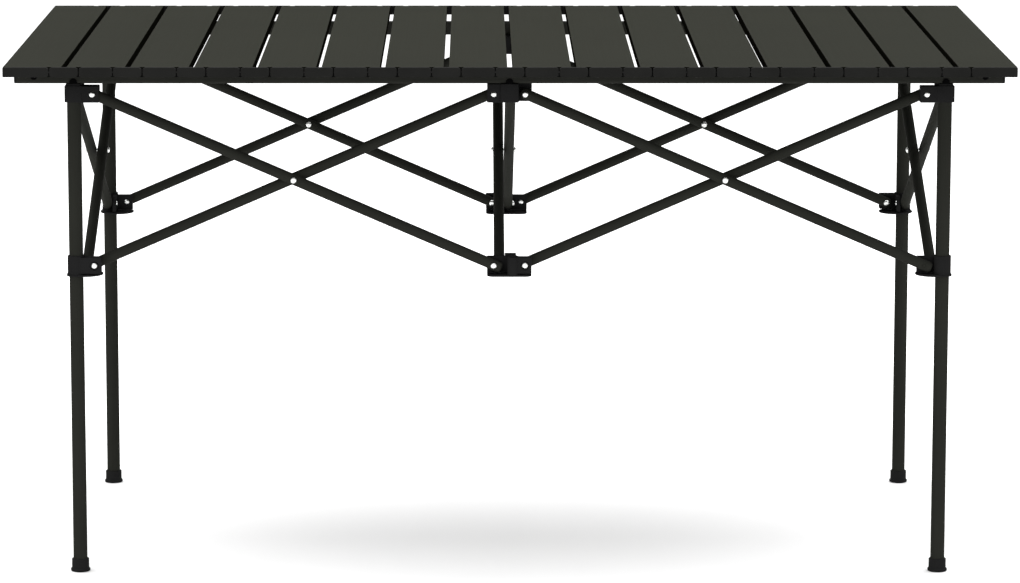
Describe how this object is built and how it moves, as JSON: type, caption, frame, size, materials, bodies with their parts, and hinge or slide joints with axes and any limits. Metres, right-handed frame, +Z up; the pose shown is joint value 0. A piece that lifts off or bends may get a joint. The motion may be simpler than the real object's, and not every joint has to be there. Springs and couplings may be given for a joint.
{
  "type": "folding picnic table",
  "caption": "Rectangular folding table with a roll-up slatted top lying on two rails, over a scissor frame whose hubs slide on straight round legs.",
  "frame": {"origin": "on the floor, at the centre of the bounding box seen from above", "axes": "+X along the table's length, +Y across it towards the back, +Z up"},
  "size_m": [1.337, 0.78, 0.7],
  "materials": {
    "slats": "satin dark grey powder coat",
    "rails": "satin black powder coat",
    "rail_plastic": "moulded, fine texture",
    "legs": "satin black powder coat",
    "braces": "satin black powder coat",
    "hub_plastic": "moulded, fine texture",
    "feet": "moulded, fine texture",
    "rivets": "bright zinc plate"
  },
  "bodies": {
    "front_left_leg": {"front_left_leg": "legs", "front_left_foot": "feet", "front_left_top_hub": "hub_plastic"},
    "front_left_slider": {"front_left_slider": "hub_plastic"},
    "front_centre_top_hub": {"front_centre_top_hub": "hub_plastic"},
    "front_centre_low_hub": {"front_centre_low_hub": "hub_plastic"},
    "front_right_leg": {"front_right_leg": "legs", "front_right_foot": "feet", "front_right_top_hub": "hub_plastic"},
    "front_right_slider": {"front_right_slider": "hub_plastic"},
    "back_left_leg": {"back_left_leg": "legs", "back_left_foot": "feet", "back_left_top_hub": "hub_plastic"},
    "back_left_slider": {"back_left_slider": "hub_plastic"},
    "back_centre_top_hub": {"back_centre_top_hub": "hub_plastic"},
    "back_centre_low_hub": {"back_centre_low_hub": "hub_plastic"},
    "back_right_leg": {"back_right_leg": "legs", "back_right_foot": "feet", "back_right_top_hub": "hub_plastic"},
    "back_right_slider": {"back_right_slider": "hub_plastic"},
    "front_left_outer_brace": {"front_left_outer_brace": "braces"},
    "front_left_inner_brace": {"front_left_inner_brace": "braces", "front_left_crossing_rivet": "rivets"},
    "front_right_outer_brace": {"front_right_outer_brace": "braces", "front_right_crossing_rivet": "rivets"},
    "front_right_inner_brace": {"front_right_inner_brace": "braces"},
    "back_left_outer_brace": {"back_left_outer_brace": "braces"},
    "back_left_inner_brace": {"back_left_inner_brace": "braces", "back_left_crossing_rivet": "rivets"},
    "back_right_outer_brace": {"back_right_outer_brace": "braces", "back_right_crossing_rivet": "rivets"},
    "back_right_inner_brace": {"back_right_inner_brace": "braces"},
    "left_end_outer_brace": {"left_end_outer_brace": "braces", "left_end_crossing_rivet": "rivets"},
    "left_end_inner_brace": {"left_end_inner_brace": "braces"},
    "right_end_outer_brace": {"right_end_outer_brace": "braces", "right_end_crossing_rivet": "rivets"},
    "right_end_inner_brace": {"right_end_inner_brace": "braces"},
    "centre_outer_brace": {"centre_outer_brace": "braces", "centre_crossing_rivet": "rivets"},
    "centre_inner_brace": {"centre_inner_brace": "braces"},
    "tabletop": {"slat_08": "slats", "front_rail": "rails", "back_rail": "rails", "rail_plugs_and_tabs": "rail_plastic"},
    "slat_01": {"slat_01": "slats"},
    "slat_02": {"slat_02": "slats"},
    "slat_03": {"slat_03": "slats"},
    "slat_04": {"slat_04": "slats"},
    "slat_05": {"slat_05": "slats"},
    "slat_06": {"slat_06": "slats"},
    "slat_07": {"slat_07": "slats"},
    "slat_09": {"slat_09": "slats"},
    "slat_10": {"slat_10": "slats"},
    "slat_11": {"slat_11": "slats"},
    "slat_12": {"slat_12": "slats"},
    "slat_13": {"slat_13": "slats"},
    "slat_14": {"slat_14": "slats"},
    "slat_15": {"slat_15": "slats"},
    "slat_16": {"slat_16": "slats"}
  },
  "joints": [
    {"name": "frame_fold", "type": "hinge", "parent": "front_centre_top_hub", "child": "front_left_inner_brace", "pos_m": [-0.021, -0.28, 0.6535], "axis": [0, -1, 0], "range_deg": [0, 63.5]},
    {"name": "front_left_crossing", "type": "hinge", "parent": "front_left_inner_brace", "child": "front_left_outer_brace", "pos_m": [-0.2895, -0.2875, 0.5375], "axis": [0, 1, 0], "range_deg": [0, 127]},
    {"name": "front_left_leg_pivot", "type": "hinge", "parent": "front_left_outer_brace", "child": "front_left_leg", "pos_m": [-0.558, -0.295, 0.6535], "axis": [0, -1, 0], "range_deg": [0, 63.5]},
    {"name": "front_left_slider_pivot", "type": "hinge", "parent": "front_left_inner_brace", "child": "front_left_slider", "pos_m": [-0.558, -0.28, 0.4215], "axis": [0, 1, 0], "range_deg": [0, 63.5]},
    {"name": "front_centre_low_hub_pivot", "type": "hinge", "parent": "front_left_outer_brace", "child": "front_centre_low_hub", "pos_m": [-0.021, -0.295, 0.4215], "axis": [0, -1, 0], "range_deg": [0, 63.5]},
    {"name": "front_right_outer_brace_top_pivot", "type": "hinge", "parent": "front_centre_top_hub", "child": "front_right_outer_brace", "pos_m": [0.021, -0.295, 0.6535], "axis": [0, 1, 0], "range_deg": [0, 63.5]},
    {"name": "front_right_crossing", "type": "hinge", "parent": "front_right_outer_brace", "child": "front_right_inner_brace", "pos_m": [0.2895, -0.2875, 0.5375], "axis": [0, -1, 0], "range_deg": [0, 127]},
    {"name": "front_right_leg_pivot", "type": "hinge", "parent": "front_right_inner_brace", "child": "front_right_leg", "pos_m": [0.558, -0.28, 0.6535], "axis": [0, 1, 0], "range_deg": [0, 63.5]},
    {"name": "front_right_slider_pivot", "type": "hinge", "parent": "front_right_outer_brace", "child": "front_right_slider", "pos_m": [0.558, -0.295, 0.4215], "axis": [0, -1, 0], "range_deg": [0, 63.5]},
    {"name": "centre_outer_brace_top_pivot", "type": "hinge", "parent": "front_centre_top_hub", "child": "centre_outer_brace", "pos_m": [0.0015, -0.2685, 0.6535], "axis": [-1, 0, 0], "range_deg": [0, 63.5]},
    {"name": "centre_crossing", "type": "hinge", "parent": "centre_outer_brace", "child": "centre_inner_brace", "pos_m": [-0.006, 0, 0.5375], "axis": [1, 0, 0], "range_deg": [0, 127]},
    {"name": "back_centre_top_hub_pivot", "type": "hinge", "parent": "centre_inner_brace", "child": "back_centre_top_hub", "pos_m": [-0.0135, 0.2685, 0.6535], "axis": [-1, 0, 0], "range_deg": [0, 63.5]},
    {"name": "back_centre_low_hub_pivot", "type": "hinge", "parent": "centre_outer_brace", "child": "back_centre_low_hub", "pos_m": [0.0015, 0.2685, 0.4215], "axis": [1, 0, 0], "range_deg": [0, 63.5]},
    {"name": "left_end_outer_brace_top_pivot", "type": "hinge", "parent": "front_left_leg", "child": "left_end_outer_brace", "pos_m": [-0.5845, -0.2685, 0.6535], "axis": [-1, 0, 0], "range_deg": [0, 63.5]},
    {"name": "left_end_crossing", "type": "hinge", "parent": "left_end_outer_brace", "child": "left_end_inner_brace", "pos_m": [-0.577, 0, 0.5375], "axis": [1, 0, 0], "range_deg": [0, 127]},
    {"name": "back_left_leg_pivot", "type": "hinge", "parent": "left_end_inner_brace", "child": "back_left_leg", "pos_m": [-0.5695, 0.2685, 0.6535], "axis": [-1, 0, 0], "range_deg": [0, 63.5]},
    {"name": "back_left_slider_pivot", "type": "hinge", "parent": "left_end_outer_brace", "child": "back_left_slider", "pos_m": [-0.5845, 0.2685, 0.4215], "axis": [1, 0, 0], "range_deg": [0, 63.5]},
    {"name": "right_end_outer_brace_top_pivot", "type": "hinge", "parent": "front_right_leg", "child": "right_end_outer_brace", "pos_m": [0.5845, -0.2685, 0.6535], "axis": [-1, 0, 0], "range_deg": [0, 63.5]},
    {"name": "right_end_crossing", "type": "hinge", "parent": "right_end_outer_brace", "child": "right_end_inner_brace", "pos_m": [0.577, 0, 0.5375], "axis": [1, 0, 0], "range_deg": [0, 127]},
    {"name": "back_right_leg_pivot", "type": "hinge", "parent": "right_end_inner_brace", "child": "back_right_leg", "pos_m": [0.5695, 0.2685, 0.6535], "axis": [-1, 0, 0], "range_deg": [0, 63.5]},
    {"name": "back_right_slider_pivot", "type": "hinge", "parent": "right_end_outer_brace", "child": "back_right_slider", "pos_m": [0.5845, 0.2685, 0.4215], "axis": [1, 0, 0], "range_deg": [0, 63.5]},
    {"name": "back_left_inner_brace_top_pivot", "type": "hinge", "parent": "back_left_leg", "child": "back_left_inner_brace", "pos_m": [-0.558, 0.28, 0.6535], "axis": [0, 1, 0], "range_deg": [0, 63.5]},
    {"name": "back_left_crossing", "type": "hinge", "parent": "back_left_inner_brace", "child": "back_left_outer_brace", "pos_m": [-0.2895, 0.2875, 0.5375], "axis": [0, -1, 0], "range_deg": [0, 127]},
    {"name": "back_right_outer_brace_top_pivot", "type": "hinge", "parent": "back_right_leg", "child": "back_right_outer_brace", "pos_m": [0.558, 0.295, 0.6535], "axis": [0, -1, 0], "range_deg": [0, 63.5]},
    {"name": "back_right_crossing", "type": "hinge", "parent": "back_right_outer_brace", "child": "back_right_inner_brace", "pos_m": [0.2895, 0.2875, 0.5375], "axis": [0, 1, 0], "range_deg": [0, 127]},
    {"name": "top_lift", "type": "slide", "parent": "front_centre_top_hub", "child": "tabletop", "axis": [0, 0, 1], "range_m": [0, 0.3]},
    {"name": "top_roll", "type": "hinge", "parent": "tabletop", "child": "slat_09", "pos_m": [0, 0, 0.6935], "axis": [0, -1, 0], "range_deg": [0, 35]},
    {"name": "slat_10_hinge", "type": "hinge", "parent": "slat_09", "child": "slat_10", "pos_m": [0.084, 0, 0.6935], "axis": [0, -1, 0], "range_deg": [0, 37]},
    {"name": "slat_11_hinge", "type": "hinge", "parent": "slat_10", "child": "slat_11", "pos_m": [0.168, 0, 0.6935], "axis": [0, -1, 0], "range_deg": [0, 39]},
    {"name": "slat_12_hinge", "type": "hinge", "parent": "slat_11", "child": "slat_12", "pos_m": [0.252, 0, 0.6935], "axis": [0, -1, 0], "range_deg": [0, 41]},
    {"name": "slat_13_hinge", "type": "hinge", "parent": "slat_12", "child": "slat_13", "pos_m": [0.336, 0, 0.6935], "axis": [0, -1, 0], "range_deg": [0, 43]},
    {"name": "slat_14_hinge", "type": "hinge", "parent": "slat_13", "child": "slat_14", "pos_m": [0.42, 0, 0.6935], "axis": [0, -1, 0], "range_deg": [0, 45]},
    {"name": "slat_15_hinge", "type": "hinge", "parent": "slat_14", "child": "slat_15", "pos_m": [0.504, 0, 0.6935], "axis": [0, -1, 0], "range_deg": [0, 47]},
    {"name": "slat_16_hinge", "type": "hinge", "parent": "slat_15", "child": "slat_16", "pos_m": [0.588, 0, 0.6935], "axis": [0, -1, 0], "range_deg": [0, 49]},
    {"name": "slat_07_hinge", "type": "hinge", "parent": "tabletop", "child": "slat_07", "pos_m": [-0.084, 0, 0.6935], "axis": [0, 1, 0], "range_deg": [0, 33]},
    {"name": "slat_06_hinge", "type": "hinge", "parent": "slat_07", "child": "slat_06", "pos_m": [-0.168, 0, 0.6935], "axis": [0, 1, 0], "range_deg": [0, 31.5]},
    {"name": "slat_05_hinge", "type": "hinge", "parent": "slat_06", "child": "slat_05", "pos_m": [-0.252, 0, 0.6935], "axis": [0, 1, 0], "range_deg": [0, 30]},
    {"name": "slat_04_hinge", "type": "hinge", "parent": "slat_05", "child": "slat_04", "pos_m": [-0.336, 0, 0.6935], "axis": [0, 1, 0], "range_deg": [0, 28.5]},
    {"name": "slat_03_hinge", "type": "hinge", "parent": "slat_04", "child": "slat_03", "pos_m": [-0.42, 0, 0.6935], "axis": [0, 1, 0], "range_deg": [0, 27]},
    {"name": "slat_02_hinge", "type": "hinge", "parent": "slat_03", "child": "slat_02", "pos_m": [-0.504, 0, 0.6935], "axis": [0, 1, 0], "range_deg": [0, 25.5]},
    {"name": "slat_01_hinge", "type": "hinge", "parent": "slat_02", "child": "slat_01", "pos_m": [-0.588, 0, 0.6935], "axis": [0, 1, 0], "range_deg": [0, 24]}
  ],
  "couplings": [
    {"joint": "front_left_crossing", "follows": "frame_fold", "ratio": 2},
    {"joint": "front_left_leg_pivot", "follows": "frame_fold", "ratio": 1},
    {"joint": "front_left_slider_pivot", "follows": "frame_fold", "ratio": 1},
    {"joint": "front_centre_low_hub_pivot", "follows": "frame_fold", "ratio": 1},
    {"joint": "front_right_outer_brace_top_pivot", "follows": "frame_fold", "ratio": 1},
    {"joint": "front_right_crossing", "follows": "frame_fold", "ratio": 2},
    {"joint": "front_right_leg_pivot", "follows": "frame_fold", "ratio": 1},
    {"joint": "front_right_slider_pivot", "follows": "frame_fold", "ratio": 1},
    {"joint": "centre_outer_brace_top_pivot", "follows": "frame_fold", "ratio": 1},
    {"joint": "centre_crossing", "follows": "frame_fold", "ratio": 2},
    {"joint": "back_centre_top_hub_pivot", "follows": "frame_fold", "ratio": 1},
    {"joint": "back_centre_low_hub_pivot", "follows": "frame_fold", "ratio": 1},
    {"joint": "left_end_outer_brace_top_pivot", "follows": "frame_fold", "ratio": 1},
    {"joint": "left_end_crossing", "follows": "frame_fold", "ratio": 2},
    {"joint": "back_left_leg_pivot", "follows": "frame_fold", "ratio": 1},
    {"joint": "back_left_slider_pivot", "follows": "frame_fold", "ratio": 1},
    {"joint": "right_end_outer_brace_top_pivot", "follows": "frame_fold", "ratio": 1},
    {"joint": "right_end_crossing", "follows": "frame_fold", "ratio": 2},
    {"joint": "back_right_leg_pivot", "follows": "frame_fold", "ratio": 1},
    {"joint": "back_right_slider_pivot", "follows": "frame_fold", "ratio": 1},
    {"joint": "back_left_inner_brace_top_pivot", "follows": "frame_fold", "ratio": 1},
    {"joint": "back_left_crossing", "follows": "frame_fold", "ratio": 2},
    {"joint": "back_right_outer_brace_top_pivot", "follows": "frame_fold", "ratio": 1},
    {"joint": "back_right_crossing", "follows": "frame_fold", "ratio": 2},
    {"joint": "slat_10_hinge", "follows": "top_roll", "ratio": 1.0571},
    {"joint": "slat_11_hinge", "follows": "top_roll", "ratio": 1.1143},
    {"joint": "slat_12_hinge", "follows": "top_roll", "ratio": 1.1714},
    {"joint": "slat_13_hinge", "follows": "top_roll", "ratio": 1.2286},
    {"joint": "slat_14_hinge", "follows": "top_roll", "ratio": 1.2857},
    {"joint": "slat_15_hinge", "follows": "top_roll", "ratio": 1.3429},
    {"joint": "slat_16_hinge", "follows": "top_roll", "ratio": 1.4},
    {"joint": "slat_07_hinge", "follows": "top_roll", "ratio": 0.94286},
    {"joint": "slat_06_hinge", "follows": "top_roll", "ratio": 0.9},
    {"joint": "slat_05_hinge", "follows": "top_roll", "ratio": 0.85714},
    {"joint": "slat_04_hinge", "follows": "top_roll", "ratio": 0.81429},
    {"joint": "slat_03_hinge", "follows": "top_roll", "ratio": 0.77143},
    {"joint": "slat_02_hinge", "follows": "top_roll", "ratio": 0.72857},
    {"joint": "slat_01_hinge", "follows": "top_roll", "ratio": 0.68571}
  ]
}
